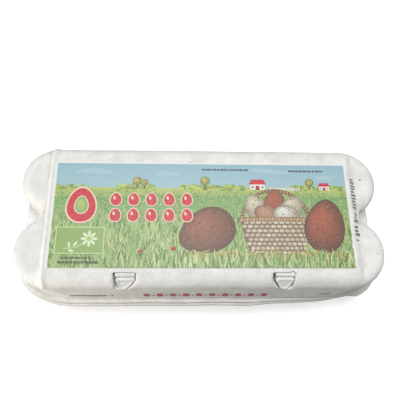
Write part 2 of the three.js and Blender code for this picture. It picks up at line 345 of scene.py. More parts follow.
def makePulp(name, finish):
    material, tree, shader = newMaterial(name)
    surface = addNode(tree, "ShaderNodeGroup", {
        "Vector": addNode(tree, "ShaderNodeTexCoord").outputs["Object"],
        "Fibre Scale": finish["fibreScale"],
        "Speck Share": finish["speckShare"],
    }, node_tree=pulpGroup).outputs
    contrast = ranged(tree, surface["Mottle"], *pulpLook["mottleRange"])
    colour = mixColours(tree, contrast, finish["pale"], finish["shade"])
    for socket, share, over in (
        (surface["Fibre"], pulpLook["fibre"], finish["fibre"]),
        (surface["Specks"], pulpLook["speck"], finish["speck"]),
        # painted shade in the left hollows, a painted highlight on the left ridge and painted shade on the
        # lips' sideways faces
        (carried(tree, "dishShade")["Fac"], pulpLook["dishShade"], finish["shade"]),
        (carried(tree, "crestHighlight")["Fac"], pulpLook["crestHighlight"], finish["crestHighlight"]),
        (carried(tree, "edge")["Fac"], finish["lipShadeShare"], finish["edge"]),
    ):
        colour = mixColours(tree, scaled(tree, socket, share), colour, over)
    feedNode(tree, shader, {
        "Base Color": colour,
        "Roughness": finish["roughness"],
        "Specular IOR Level": pulpLook["sheen"],
        "Normal": bumped(tree, surface["Height"], pulpLook["relief"]),
    })
    return material


pulp = {name: makePulp(name, finish) for name, finish in pulpFinish.items()}


paperFinish = {
    "white": srgb(223, 225, 222),
    "roughness": 0.5,
    "printRoughness": 0.46,
    "sheen": 0.35,
    "grainDetail": 3,
    "grainScale": 900,
    "grainRange": (0.45, 0.8),
    "fade": 0.12,  # how much the paper's grain shows through the inks
    "relief": {"strength": 0.12, "distance": 0.1 * mm},
}


def makePaper(name, inked):
    # plain white label paper, or the same paper with the printed inks that the piece carries
    material, tree, shader = newMaterial(name)
    grain = addNode(tree, "ShaderNodeTexNoise", {
        "Vector": addNode(tree, "ShaderNodeTexCoord").outputs["Object"],
        "Scale": paperFinish["grainScale"],
        "Detail": paperFinish["grainDetail"],
    }).outputs["Fac"]
    colour = paperFinish["white"]
    if inked:
        fade = ranged(tree, grain, *paperFinish["grainRange"], paperFinish["fade"])
        colour = mixColours(tree, fade, carried(tree, "ink")["Color"], colour)
    feedNode(tree, shader, {
        "Base Color": colour,
        "Roughness": paperFinish["printRoughness" if inked else "roughness"],
        "Specular IOR Level": paperFinish["sheen"],
        "Normal": bumped(tree, grain, paperFinish["relief"]),
    })
    return material


whitePaper = makePaper("whitePaper", False)
printedPaper = makePaper("printedPaper", True)
print("materials made")


# moulded pulp pieces: a copy of the solid, remeshed finely, softened and roughened

pulpForm = {
    "lid": {
        "voxel": 1.0 * mm, "smoothing": 12, "lipSmoothing": 0.08, "rimWave": 0.35 * mm,
        "broad": 0.22 * mm, "lumps": 0.09 * mm, "grain": 0.05 * mm,
        "material": "lidPulp", "slot": "lid_pulp",
    },
    "tray": {
        "voxel": 1.1 * mm, "smoothing": 8, "lipSmoothing": 0.08, "rimWave": 0.35 * mm,
        "broad": 0.25 * mm, "lumps": 0.12 * mm, "grain": 0.06 * mm,
        "material": "trayPulp", "slot": "tray_pulp",
    },
    "latch_tongue_left": {
        "voxel": 0.3 * mm, "smoothing": 6, "lipSmoothing": 1, "rimWave": 0,
        "broad": 0.08 * mm, "lumps": 0.07 * mm, "grain": 0.04 * mm,
        "material": "lidPulp", "slot": "tray_pulp",
    },
}
pulpForm["latch_tongue_right"] = pulpForm["latch_tongue_left"]

easedEnd = {  # where the right end of the flat top runs into its lobes without a sharp step
    "start": 98 * mm, "end": 113 * mm, "inner": 1 * mm, "innerFade": 9 * mm,
    "outer": 36 * mm, "low": 59 * mm, "fade": 3 * mm, "smoothing": 120,
}
rimZone = {
    "low": 28.5 * mm, "high": 35 * mm, "fade": 3 * mm,
    "parting": 32 * mm, "quiet": 0.7, "quietHalf": 0.3 * mm, "quietFade": 1.2 * mm,
}
labelLow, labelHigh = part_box("label")
labelZone = {"margin": 1.5 * mm, "fade": 2.5 * mm, "under": 66 * mm}
windowZone = {"places": (-50.1 * mm, 52.9 * mm), "halfWidth": 9 * mm, "fade": 3 * mm, "back": -34 * mm}
waves = {"broad": (38 * mm, 3), "lumps": (7.5 * mm, 11), "grain": (2.2 * mm, 23)}  # length and shift
rimWaves = (24 * mm, 31)


def fadeIn(value, start, width):
    share = min(1, max(0, (value - start) / width))
    return share * share * (3 - 2 * share)


def nearby(value, middle, half, fade):
    # 1 within half of the middle, 0 beyond the fade
    return 1 - fadeIn(abs(value - middle), half, fade)


def rimShare(z):
    return fadeIn(z, rimZone["low"] - rimZone["fade"], rimZone["fade"]) * (
        1 - fadeIn(z, rimZone["high"], rimZone["fade"])
    )


ridgeZone = {
    "place": -101.8 * mm, "halfWidth": 1.6 * mm, "fade": 1.2 * mm, "low": 58 * mm,
    "crestHighlight": -102.1 * mm, "crestHalf": 0.2 * mm, "crestFade": 0.7 * mm, "crestLow": 56 * mm,
    "crestEnd": 8 * mm, "lift": 0.12 * mm,
}
dishZone = {
    "x": -99.4 * mm, "y": 24.8 * mm, "radius": 16 * mm, "fade": 2.5 * mm,
    "inner": 105 * mm, "innerFade": 2 * mm, "low": 61 * mm,
    "strip": 0.8, "stripFade": 0.8 * mm,
}


def ridgeShare(place):
    if place.z < ridgeZone["low"]:
        return 0
    return nearby(place.x, ridgeZone["place"], ridgeZone["halfWidth"], ridgeZone["fade"])


# where the left ridge's crest is raised, and where it gets a painted highlight
def crestShare(place):
    share = nearby(place.x, ridgeZone["crestHighlight"], ridgeZone["crestHalf"], ridgeZone["crestFade"])
    return share * fadeIn(place.z, ridgeZone["crestLow"], ridgeZone["crestEnd"])


def dishShadeShare(place):
    # painted shade that makes the hollow on top of each left lobe, and the strip between ridge and label,
    # slightly greyer
    if place.z < dishZone["low"]:
        return 0
    if ridgeZone["place"] < place.x < labelLow.x + dishZone["innerFade"]:
        return dishZone["strip"] * fadeIn(place.x, ridgeZone["place"], dishZone["stripFade"])
    away = math.hypot(place.x - dishZone["x"], abs(place.y) - dishZone["y"])
    share = 1 - fadeIn(away, dishZone["radius"], dishZone["fade"])
    return share * fadeIn(-place.x, dishZone["inner"], dishZone["innerFade"])


def windowShare(place):
    if place.y > windowZone["back"]:
        return 0
    away = min(abs(place.x - x) for x in windowZone["places"])
    return 1 - fadeIn(away, windowZone["halfWidth"], windowZone["fade"])


def underLabel(place):
    # 1 on the flat top below the label, which has to stay under it, and 0 elsewhere
    beyondX = max(labelLow.x - place.x, place.x - labelHigh.x)
    beyondY = max(labelLow.y - place.y, place.y - labelHigh.y)
    if place.z < labelZone["under"]:
        return 0
    return 1 - fadeIn(max(beyondX, beyondY), labelZone["margin"], labelZone["fade"])


def smoothNoise(place, length, shift):
    return noise.noise(place / length + Vector((shift, 2 * shift, -shift)))


def freshPiece(name, source):
    piece = bpy.data.objects.new(name, source)
    scene.collection.objects.link(piece)
    return piece


def bakeModifiers(piece):
    # turns what the modifiers make into the piece's own plain mesh
    evaluated = piece.evaluated_get(bpy.context.evaluated_depsgraph_get())
    mesh = bpy.data.meshes.new_from_object(evaluated)
    piece.modifiers.clear()
    piece.data = mesh


def soften(piece, shareAt, steps):
    # smooths every point by the share that is given for its place
    group = piece.vertex_groups.new(name="soften")
    for vertex in piece.data.vertices:
        group.add([vertex.index], shareAt(vertex.co), "REPLACE")
    smooth = piece.modifiers.new("smooth", "SMOOTH")
    smooth.iterations = steps
    smooth.vertex_group = group.name
    bakeModifiers(piece)
    piece.vertex_groups.clear()


def easeShare(place):
    x, y, z = place.x, abs(place.y), place.z
    fade = easedEnd["fade"]
    share = fadeIn(x, easedEnd["start"], fade) * (1 - fadeIn(x, easedEnd["end"], fade))
    share *= fadeIn(y, easedEnd["inner"], easedEnd["innerFade"]) * (1 - fadeIn(y, easedEnd["outer"], fade))
    return share * (fadeIn(z, easedEnd["low"], fade) * (1 - underLabel(place)))


def fineCopy(node, form):
    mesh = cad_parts[node].data.copy()
    work = bmesh.new()
    work.from_mesh(mesh)
    bmesh.ops.remove_doubles(work, verts=work.verts, dist=0.001 * mm)
    work.to_mesh(mesh)
    work.free()
    piece = freshPiece(node + "_pulp", mesh)
    piece.data.materials.clear()
    remesh = piece.modifiers.new("remesh", "REMESH")
    remesh.mode = "VOXEL"
    remesh.voxel_size = form["voxel"]
    bakeModifiers(piece)

    def softShare(place):
        # lips, windows and the ridge keep their edges
        sharp = max(rimShare(place.z), windowShare(place), ridgeShare(place))
        return 1 - sharp * (1 - form["lipSmoothing"])

    soften(piece, softShare, form["smoothing"])
    if node == "lid":
        soften(piece, easeShare, easedEnd["smoothing"])
    return piece


lipDraw = {
    # how far both lips are drawn in along the right part of the front, in mm at an x in mm
    "steps": (
        (34, 0), (50, 1.3), (72, 1.9), (84, 2.9), (97, 4.4), (106, 3.8), (113, 0.7), (120, 0.1), (128, 0),
    ),
    "width": 6.2 * mm, "back": -20 * mm,
    "cornerX": 41 * mm, "cornerY": 24 * mm,
    "crinkleStart": 96 * mm, "crinkleFade": 12 * mm, "crinkle": 0.55 * mm, "crinkleLength": 3.6 * mm,
    "crinkleStretch": 3, "crinkleShift": 41,
}


def drawLipsIn(piece):
    # the lips are warped at the right front: nearly hidden there, and a little crinkled round the corner
    steps = lipDraw["steps"]
    for vertex in piece.data.vertices:
        x, y, z = vertex.co
        if y > lipDraw["back"] or not steps[0][0] * mm < x < steps[-1][0] * mm:
            continue
        along = max(0, x - (cadHigh.x - lipDraw["cornerX"])) / lipDraw["cornerX"]
        rim = cadLow.y + lipDraw["cornerY"] * (1 - math.sqrt(max(0, 1 - along * along)))
        share = (1 - min(1, max(0, (y - rim) / lipDraw["width"]))) * rimShare(z)
        for (startX, start), (endX, end) in zip(steps, steps[1:]):
            if startX * mm <= x < endX * mm:
                amount = start + (end - start) * (x / mm - startX) / (endX - startX)
        crinkle = lipDraw["crinkle"] * fadeIn(x, lipDraw["crinkleStart"], lipDraw["crinkleFade"])
        level = Vector((x, y / lipDraw["crinkleStretch"], 0))
        bend = crinkle * smoothNoise(level, lipDraw["crinkleLength"], lipDraw["crinkleShift"])
        vertex.co = (x, y + amount * mm * share, z + 2 * bend * share)
    piece.data.update()


def roughen(piece, form):
    normals = [v.normal.copy() for v in piece.data.vertices]
    for vertex, normal in zip(piece.data.vertices, normals):
        place = vertex.co.copy()
        still = 1 - underLabel(place)
        parting = nearby(place.z, rimZone["parting"], rimZone["quietHalf"], rimZone["quietFade"])
        quiet = 1 - rimZone["quiet"] * parting
        offset = 0
        for kind, (length, shift) in waves.items():
            offset += form[kind] * smoothNoise(place, length, shift)
        offset += ridgeZone["lift"] * crestShare(place)
        vertex.co = place + normal * offset * still * quiet
        if form["rimWave"]:
            level = Vector((place.x, place.y, 0))
            wave = form["rimWave"] * smoothNoise(level, *rimWaves) * rimShare(place.z)
            vertex.co += Vector((place.x / 2, place.y, 0)).normalized() * wave
        vertex.co.z = max(vertex.co.z, 0)  # the feet stay on the floor
    piece.data.shade_smooth()


lipShadeSlope = (0.35, 0.3)  # a lip face that faces sideways gets painted shade: the least upward part of its normal, and how it fades


def markTones(piece):
    # painted shade that greys the hollows, a painted highlight on the pale ridge at the left end, and painted
    # shade on the sideways faces of both lips
    dishShade = [dishShadeShare(v.co) for v in piece.data.vertices]
    crestHighlight = [crestShare(v.co) for v in piece.data.vertices]
    # painted shade on the sideways faces of both lips, where little light reaches
    edge = [rimShare(v.co.z) * (1 - fadeIn(abs(v.normal.z), *lipShadeSlope)) for v in piece.data.vertices]
    for name, values in (("dishShade", dishShade), ("crestHighlight", crestHighlight), ("edge", edge)):
        attribute = piece.data.attributes.new(name, "FLOAT", "POINT")
        attribute.data.foreach_set("value", values)


pulpPieces = {}
for node, form in pulpForm.items():
    piece = fineCopy(node, form)
    if form["rimWave"]:
        drawLipsIn(piece)
    roughen(piece, form)
    if form["rimWave"]:
        markTones(piece)
    piece.data.materials.clear()
    piece.data.materials.append(pulp[form["material"]])
    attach(piece, "root")
    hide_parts(node)
    pulpPieces[node] = piece
    print(node, "made,", len(piece.data.polygons), "faces")


# the label's picture: flat printed shapes in thin layers on the paper

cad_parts["label"].data.materials.clear()
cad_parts["label"].data.materials.append(whitePaper)

picture = {
    "left": -98.2, "right": 99.2, "bottom": -37.4, "top": 34.7,
    "horizon": 17.5,
    "layer": 0.004 * mm,  # from one layer of ink to the next
    "strength": 0.82,  # of the inks, as a share of the colours written below
    "falloff": 1.6,  # how shading runs from the spot of light to the edge
    "seed": 12,
}


def printInk(red, green, blue):
    return [c * picture["strength"] for c in srgb(red, green, blue)[:3]] + [1.0]


inks = {
    "skyHigh": printInk(158, 196, 211),
    "skyLow": printInk(172, 207, 214),
    "cloud": printInk(196, 220, 226),
    "fieldFar": printInk(196, 206, 120),
    "fieldMid": printInk(132, 182, 112),
    "fieldNear": printInk(170, 196, 130),
    "hedgeDark": printInk(104, 132, 72),
    "hedge": printInk(152, 178, 92),
    "hedgeLight": printInk(206, 214, 118),
    "red": printInk(214, 62, 72),
    "redDeep": printInk(172, 46, 58),
    "cream": printInk(244, 222, 198),
    "white": printInk(240, 240, 232),
    "boxGreen": printInk(154, 184, 110),
    "boxLine": printInk(206, 228, 166),
    "petal": printInk(226, 244, 204),
    "dark": printInk(84, 92, 84),
    "brown": printInk(142, 104, 88),
    "brownDeep": printInk(106, 74, 60),
    "russet": printInk(184, 104, 80),
    "hazel": printInk(166, 110, 84),
    "tan": printInk(200, 160, 128),
    "eggCream": printInk(226, 220, 194),
    "eggShade": printInk(160, 152, 126),
    "straw": printInk(222, 208, 140),
    "strawDeep": printInk(176, 150, 92),
    "yellow": printInk(236, 216, 96),
}


def inkOf(ink):
    # an ink may be given by its name
    return inks[ink] if isinstance(ink, str) else ink


def mixInks(a, b, share):
    return [x + (y - x) * share for x, y in zip(inkOf(a), inkOf(b))]


def layerHeight(layer):
    # the lowest layer lies two steps above the paper
    return labelHigh.z + (layer + 2) * picture["layer"]


class inkSheet:  # gathers flat shapes, each with an ink at every corner
    def __init__(self, name, layer):
        self.name = name
        self.layer = layer
        self.places = []
        self.colours = []
        self.faces = []

    def nextLayer(self):
        self.layer += 1

    def put(self, points, colours, faces):
        start = len(self.places)
        height = layerHeight(self.layer)
        self.places += [(x * mm, y * mm, height) for x, y in points]
        self.colours += [inkOf(ink) for ink in colours]
        self.faces += [[start + i for i in face] for face in faces]

    def fill(self, points, ink):
        # one flat shape, whose outline may be hollow in places
        if sum(a[0] * b[1] - b[0] * a[1] for a, b in zip(points, points[1:] + points[:1])) < 0:
            points = points[::-1]
        faces = geometry.tessellate_polygon([[Vector((x, y, 0)) for x, y in points]])
        upward = []
        for a, b, c in faces:
            (ax, ay), (bx, by), (cx, cy) = points[a], points[b], points[c]
            turn = (bx - ax) * (cy - ay) - (by - ay) * (cx - ax)
            if turn:
                upward.append((a, b, c) if turn > 0 else (a, c, b))
        self.put(points, [ink] * len(points), upward)

    def cover(self, points, ink):
        # what comes next lies over this shape
        self.fill(points, ink)
        self.nextLayer()

    def shade(self, points, light, centreInk, edgeInk, rings=5):
        # a round shape whose ink runs from the spot of light out to its edge
        count = len(points)
        places = [light]
        colours = [centreInk]
        for ring in range(1, rings + 1):
            share = ring / rings
            for x, y in points:
                places.append((light[0] + (x - light[0]) * share, light[1] + (y - light[1]) * share))
            colours += [mixInks(centreInk, edgeInk, share ** picture["falloff"])] * count
        faces = [(0, 1 + i, 1 + (i + 1) % count) for i in range(count)]
        for ring in range(rings - 1):
            for i in range(count):
                inner, outer = 1 + ring * count, 1 + (ring + 1) * count
                j = (i + 1) % count
                faces.append((inner + i, outer + i, outer + j, inner + j))
        self.put(places, colours, faces)

    def stroke(self, points, width, ink):
        # a band along a line
        left, right = [], []
        half = width / 2
        for i, (x, y) in enumerate(points):
            before, after = points[max(0, i - 1)], points[min(len(points) - 1, i + 1)]
            dx, dy = after[0] - before[0], after[1] - before[1]
            reach = math.hypot(dx, dy) or 1
            left.append((x - dy / reach * half, y + dx / reach * half))
            right.append((x + dy / reach * half, y - dx / reach * half))
        count = len(points)
        faces = [(count + i, count + i + 1, i + 1, i) for i in range(count - 1)]
        self.put(left + right, [ink] * (2 * count), faces)

    def finished(self):
        return inkedPiece(self.name, self.places, self.faces, self.colours)


def inkedPiece(name, places, faces, colours):
    mesh = bpy.data.meshes.new(name)
    mesh.from_pydata(places, [], faces)
    attribute = mesh.attributes.new("ink", "FLOAT_COLOR", "POINT")
    attribute.data.foreach_set("color", [c for colour in colours for c in colour])
    return finishPrint(freshPiece(name, mesh))


def finishPrint(piece):
    piece.data.materials.clear()
    piece.data.materials.append(printedPaper)
    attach(piece, "root")
    return piece


def trimToPicture(piece):
    # cuts off what reaches over the picture's straight edges
    work = bmesh.new()
    work.from_mesh(piece.data)
    sides = {"left": (-1, 0, 0), "right": (1, 0, 0), "bottom": (0, -1, 0), "top": (0, 1, 0)}
    for name, outward in sides.items():
        point = [abs(axis) * picture[name] * mm for axis in outward]
        parts = work.verts[:] + work.edges[:] + work.faces[:]
        bmesh.ops.bisect_plane(work, geom=parts, plane_co=point, plane_no=outward, clear_outer=True)
    work.to_mesh(piece.data)
    work.free()


def rectangle(left, bottom, right, top):
    return [(left, bottom), (right, bottom), (right, top), (left, top)]


def turned(x, y, dx, dy, turn):
    # the point at dx, dy from x, y, turned round it
    return x + dx * math.cos(turn) - dy * math.sin(turn), y + dx * math.sin(turn) + dy * math.cos(turn)


def ellipse(x, y, radiusX, radiusY, turn=0, steps=20):
    angles = [2 * math.pi * i / steps for i in range(steps)]
    return [turned(x, y, radiusX * math.cos(a), radiusY * math.sin(a), turn) for a in angles]


eggTaper = 0.16


def eggOutline(x, y, width, height, turn=0, steps=28):
    # blunt below, pointed above, before it is turned
    points = []
    for i in range(steps):
        angle = 2 * math.pi * i / steps
        dx = width / 2 * math.cos(angle) * (1 - eggTaper * math.sin(angle))
        points.append(turned(x, y, dx, height / 2 * math.sin(angle), turn))
    return points


landscape = {
    "skyBelow": 4,  # how far the sky reaches below the horizon
    "skySteps": 6,
    "clouds": ((-70, 29, 20), (-22, 27, 15), (48, 30, 22), (86, 25, 10)),  # place and length
    "puffs": 4,
    "cloudShare": 0.5,
    "fieldSteps": 60,
    "fields": (  # upper edge, rise, phase, lower edge, ink at each edge
        (picture["horizon"], 0.7, 0.4, 6, "fieldFar", "fieldMid"),
        (11, 0.9, 2.1, -8, "fieldMid", "fieldNear"),
        (-3, 1.2, 4.4, picture["bottom"], "fieldNear", "fieldNear"),
    ),
}


def drawGround(sheet, plan, draw):
    left, right, top, horizon = (picture[k] for k in ("left", "right", "top", "horizon"))
    steps, below = plan["skySteps"], plan["skyBelow"]
    for i in range(steps):
        low, high = (horizon - below + (top - horizon + below) * k / steps for k in (i, i + 1))
        lower, upper = (mixInks("skyLow", "skyHigh", k / steps) for k in (i, i + 1))
        sheet.put(rectangle(left, low, right, high), [lower, lower, upper, upper], [(0, 1, 2, 3)])
    sheet.nextLayer()
    cloudInk = mixInks("skyHigh", "cloud", plan["cloudShare"])
    for x, y, length in plan["clouds"]:
        for k in range(plan["puffs"]):
            puffX, puffY = x + draw.uniform(-0.4, 0.4) * length, y + draw.uniform(-1.2, 1.2)
            sheet.cover(ellipse(puffX, puffY, length * 0.4, 1.3), cloudInk)
    count = plan["fieldSteps"]
    xs = [left + (right - left) * i / count for i in range(count + 1)]
    faces = [(count + 1 + i, count + 2 + i, i + 1, i) for i in range(count)]
    for base, rise, phase, low, upperInk, lowerInk in plan["fields"]:
        hill = [rise * (math.sin(x / 23 + phase) + 0.5 * math.sin(x / 9.5 + 2 * phase)) for x in xs]
        places = [(x, base + height) for x, height in zip(xs, hill)] + [(x, low) for x in xs]
        sheet.put(places, [upperInk] * (count + 1) + [lowerInk] * (count + 1), faces)
        sheet.nextLayer()


hedges = (  # start, end, size and count
    (-98, -76, 1.7, 40),
    (-58, -30, 2.3, 50),
    (-14, 28, 2.6, 80),
    (62, 98, 2.3, 60),
)
hedgeRow = 5  # bushes side by side in one layer, clear of each other
hedgeTone = 0.4  # the drawn tone of a bush that is neither dark nor light
trees = ((-44, 3.2), (-39, 2.5), (2, 3.4), (74, 3.0))  # place and size of round trees with ripe fruit


def drawHedges(sheet, draw):
    lowest = sheet.layer
    highest = lowest
    for start, end, size, count in hedges:
        sheet.layer = lowest
        room = (end - start) / hedgeRow
        for k in range(count):
            if k % hedgeRow == 0:
                shift = draw.random()
                sheet.nextLayer()
            x = start + room * (k % hedgeRow + shift)
            y = picture["horizon"] + draw.uniform(-1.8, 1.6)
            tone = draw.random()
            other = "hedgeLight" if tone > hedgeTone else "hedgeDark"
            ink = mixInks("hedge", other, abs(tone - hedgeTone) * 1.6)
            radiusX, radiusY = draw.uniform(0.3, 0.9) * size, draw.uniform(0.25, 0.6) * size
            sheet.fill(ellipse(x, y, radiusX, radiusY, steps=9), ink)
        highest = max(highest, sheet.layer)
    sheet.layer = highest + 1
    for x, size in trees:
        foot = picture["horizon"] - 1
        sheet.stroke([(x, foot), (x, foot + size)], 0.7, "brownDeep")
        sheet.nextLayer()
        sheet.shade(ellipse(x, foot + size * 1.7, size, size * 0.95, steps=14),
                    (x - size * 0.3, foot + size * 2.1), "hedgeLight", "hedgeDark", 3)
        sheet.nextLayer()
        for k in range(7):
            angle, reach = draw.uniform(0, 6.28), draw.uniform(0.15, 0.75) * size
            fruitX, fruitY = x + reach * math.cos(angle), foot + size * 1.7 + reach * math.sin(angle)
            sheet.fill(ellipse(fruitX, fruitY, 0.42, 0.42, steps=8), "red")
        sheet.nextLayer()


farmFoot = picture["horizon"] - 1.5
barns = ((38, 1.0), (84, 0.7))  # place and share of the full size


def drawBarn(sheet, x, size):
    foot = farmFoot
    sheet.cover(rectangle(x - 5 * size, foot, x + 5 * size, foot + 4.2 * size), "white")
    eave, ridge = foot + 4 * size, foot + 7.6 * size
    roof = [(x - 6 * size, eave), (x + 6 * size, eave), (x + 4.2 * size, ridge), (x - 4.2 * size, ridge)]
    sheet.fill(roof, "red")
    sheet.fill(rectangle(x - 1.3 * size, foot, x + 1.3 * size, foot + 3 * size), "redDeep")
    for side in (-3.4 * size, 3.4 * size):
        window = rectangle(x + side - 0.6 * size, foot + 1.4 * size, x + side + 0.6 * size, foot + 2.6 * size)
        sheet.fill(window, "dark")
    sheet.nextLayer()


fence = {"left": 45, "right": 67.5, "pitch": 1.7}


def drawFence(sheet, plan):
    left, right = plan["left"], plan["right"]
    foot = farmFoot
    x = left + 1
    while x < right:
        sheet.fill(rectangle(x - 0.25, foot - 0.8, x + 0.25, foot + 1.7), "white")
        x += plan["pitch"]
    sheet.nextLayer()
    for rail in (0, 1):
        sheet.fill(rectangle(left, foot + rail, right, foot + rail + 0.35), "white")
    sheet.nextLayer()


redEggs = {
    "bigPlace": (-80, 4.5), "bigSize": (18.5, 23.5), "outline": 1.1,
    "rows": ((8.6, -57.5), (-2.4, -57.5)), "perRow": 5, "pitch": 11.8, "size": (7.0, 8.6),
    "smallOutline": 0.7, "innerShare": (0.52, 0.55), "innerOutline": 1.4,
}


def drawRedEggs(sheet, plan):
    (x, y), (width, height), line = plan["bigPlace"], plan["bigSize"], plan["outline"]
    sheet.cover(eggOutline(x, y, width + 2 * line, height + 2 * line, steps=40), "cream")
    sheet.cover(eggOutline(x, y, width, height, steps=40), "red")
    width, height = width * plan["innerShare"][0], height * plan["innerShare"][1]
    line = plan["innerOutline"]
    sheet.cover(eggOutline(x, y, width, height, steps=36), "cream")
    inner = eggOutline(x, y, width - line, height - line, steps=30)
    sheet.shade(inner, (x - 1, y + 1.5), "fieldFar", "fieldMid", 3)
    sheet.nextLayer()
    width, height = plan["size"]
    line = plan["smallOutline"]
    for rowY, rowX in plan["rows"]:
        for i in range(plan["perRow"]):
            place = rowX + i * plan["pitch"]
            sheet.cover(eggOutline(place, rowY, width + 2 * line, height + 2 * line), "cream")
            sheet.cover(eggOutline(place, rowY, width, height), "red")
            sheet.cover(eggOutline(place - 1, rowY + 1, width * 0.24, height * 0.3, 0.3, 14), "cream")


badge = {"left": -95, "right": -63.5, "bottom": -28.6, "top": -10.6, "line": 0.7, "petals": 8}


def drawBadge(sheet, plan):
    left, right, bottom, top, line = (plan[k] for k in ("left", "right", "bottom", "top", "line"))
    sheet.cover(rectangle(left, bottom, right, top), "boxLine")
    sheet.cover(rectangle(left + line, bottom + line, right - line, top - line), "boxGreen")
    x, y = (left + right) / 2 + 6, (bottom + top) / 2 + 1
    sheet.stroke([(x, y), (x - 3, y - 3), (x - 9, y - 6), (x - 16, y - 6.5)], 0.6, "boxLine")
    sheet.nextLayer()
    for k in range(plan["petals"]):
        angle = 2 * math.pi * k / plan["petals"]
        petal = ellipse(x + 3.4 * math.cos(angle), y + 3.4 * math.sin(angle), 2.1, 0.95, angle, 14)
        sheet.cover(petal, "petal")
    for px, py, turn in ((x - 8.5, y - 3.4, 0.9), (x - 12.5, y - 4, 1.6), (x - 11, y - 8, 2.9)):
        sheet.fill(ellipse(px, py, 1.9, 0.8, turn, 12), "petal")
    sheet.nextLayer()
    sheet.cover(ellipse(x, y, 1.3, 1.3), "fieldFar")


rules = (  # left, right, y and height
    (-90, -71, -31.6, 1.0),
    (-92, -66, -34.6, 1.3),
    (0, 32, 30.2, 0.8),
    (60, 84, 29.6, 0.8),
)


def drawRule(sheet, left, right, y, height, draw):
    # a row of short dark dashes
    x = left
    while x < right:
        length = draw.uniform(0.8, 2.4)
        sheet.fill(rectangle(x, y, min(right, x + length), y + height), "dark")
        x += length + draw.uniform(0.35, 0.8)


eggs = [
    dict(zip(("x", "y", "size", "turn", "light", "edge", "specks"), egg))
    for egg in (  # two in the meadow, then those in the basket
        (3, -13, (30, 39), 2.0, "hazel", "brownDeep", 46),
        (82, -9, (27, 37), -0.2, "russet", "brownDeep", 40),
        (36, 4, (15, 19), 0.5, "eggCream", "eggShade", 26),
        (49, 6.5, (15, 20), -0.15, "russet", "brown", 14),
        (61, 3.5, (14, 18), -0.6, "eggCream", "eggShade", 30),
        (43, -1.5, (14, 17), 1.2, "tan", "brown", 16),
        (56, -2, (15, 17), -1.1, "white", "eggShade", 24),
    )
]
basket = {
    "x": 49, "top": -5.5, "bottom": -29, "halfTop": 24, "halfFoot": 18, "rows": 8, "perRow": 12,
    "handle": 21, "strands": 24, "handleStrands": 30,
}


def drawEgg(sheet, egg, draw):
    x, y = egg["x"], egg["y"]
    width, height = egg["size"]
    outline = eggOutline(x, y, width, height, egg["turn"], 36)
    edge = egg["edge"]
    shine = (x - width * 0.16, y + height * 0.2)
    sheet.shade(outline, shine, egg["light"], mixInks(edge, "dark", 0.15), 6)
    sheet.nextLayer()
    for k in range(egg["specks"]):
        angle, reach = draw.uniform(0, 6.28), math.sqrt(draw.random()) * 0.86
        dx, dy = reach * width / 2 * math.cos(angle), reach * height / 2 * math.sin(angle)
        px, py = turned(x, y, dx, dy, egg["turn"])
        size = draw.uniform(0.25, 0.75)
        speck = ellipse(px, py, size, size * 0.7, draw.uniform(0, 3), 7)
        sheet.fill(speck, mixInks(edge, "brownDeep", draw.random()))
    sheet.nextLayer()


def drawBasket(sheet, plan, draw):
    x, rows = plan["x"], plan["rows"]
    top, bottom, foot = plan["top"], plan["bottom"], plan["halfFoot"]
    side = [(x - foot, bottom), (x + foot, bottom), (x + plan["halfTop"], top), (x - plan["halfTop"], top)]
    sheet.cover(side, "brown")
    rise = (top - bottom) / rows
    for row in range(rows):
        y = bottom + (row + 0.5) * rise
        half = foot + (plan["halfTop"] - foot) * ((y - bottom) / (top - bottom))
        count = plan["perRow"]
        for k in range(count):
            share = (k + (0.5 if row % 2 else 0)) / count
            if share > 0.97:
                continue
            px = x - half + 2 * half * share + half / count
            tone = mixInks("eggShade", "eggCream", draw.random() * 0.8)
            px = min(px, x + half - 0.9)
            sheet.shade(ellipse(px, y, half / count * 0.94, rise * 0.42, 0, 12), (px - 0.3, y + 0.4),
                        mixInks(tone, "eggCream", 0.6), tone, 2)
    sheet.nextLayer()
    count = plan["strands"]
    rim = []
    for i in range(count + 1):
        along = x - plan["halfTop"] - 1 + (2 * plan["halfTop"] + 2) * i / count
        rim.append((along, top + 0.8 * math.sin(math.pi * i / count)))
    sheet.stroke(rim, 3.2, "brown")
    sheet.nextLayer()
    for i in range(1, count):
        px, py = rim[i]
        sheet.fill(ellipse(px, py, 0.75, 1.5, -0.5, 10), mixInks("tan", "straw", 0.4 * (i % 2)))
    sheet.nextLayer()


def drawHandle(sheet, plan):
    count = plan["handleStrands"]
    reach = plan["halfTop"] - 1.5
    angles = [math.pi * i / count for i in range(count + 1)]
    arc = [(plan["x"] + reach * math.cos(a), plan["top"] + plan["handle"] * math.sin(a)) for a in angles]
    sheet.stroke(arc, 2.2, "brownDeep")
    sheet.nextLayer()
    for angle, (px, py) in list(zip(angles, arc))[1:-1]:
        sheet.fill(ellipse(px, py, 1.15, 0.6, angle + 0.7, 9), "tan")
    sheet.nextLayer()


# under the eggs and the basket: place and reach of each heap
straw = {"heaps": ((6, 17), (49, 20), (82, 12)), "base": -30, "count": 60, "perLayer": 6}


def drawStraw(sheet, centre, reach, base, count, draw):
    for k in range(count):
        x, y = centre + draw.uniform(-1, 1) * reach, base + draw.uniform(-2.6, 2.6)
        angle, length = draw.uniform(-0.5, 0.5), draw.uniform(5, 12)
        dx, dy = math.cos(angle) * length / 2, math.sin(angle) * length / 2
        ink = mixInks("straw", "strawDeep", draw.random())
        sheet.stroke([(x - dx, y - dy), (x, y + draw.uniform(-0.6, 0.6)), (x + dx, y + dy)], 0.55, ink)
        if (k + 1) % straw["perLayer"] == 0:
            sheet.nextLayer()
    sheet.nextLayer()


flowerCount = 46
poppies = ((-52, -31), (-40, -27), (-28, -33), (-19, -25), (24, -33), (95, -31))


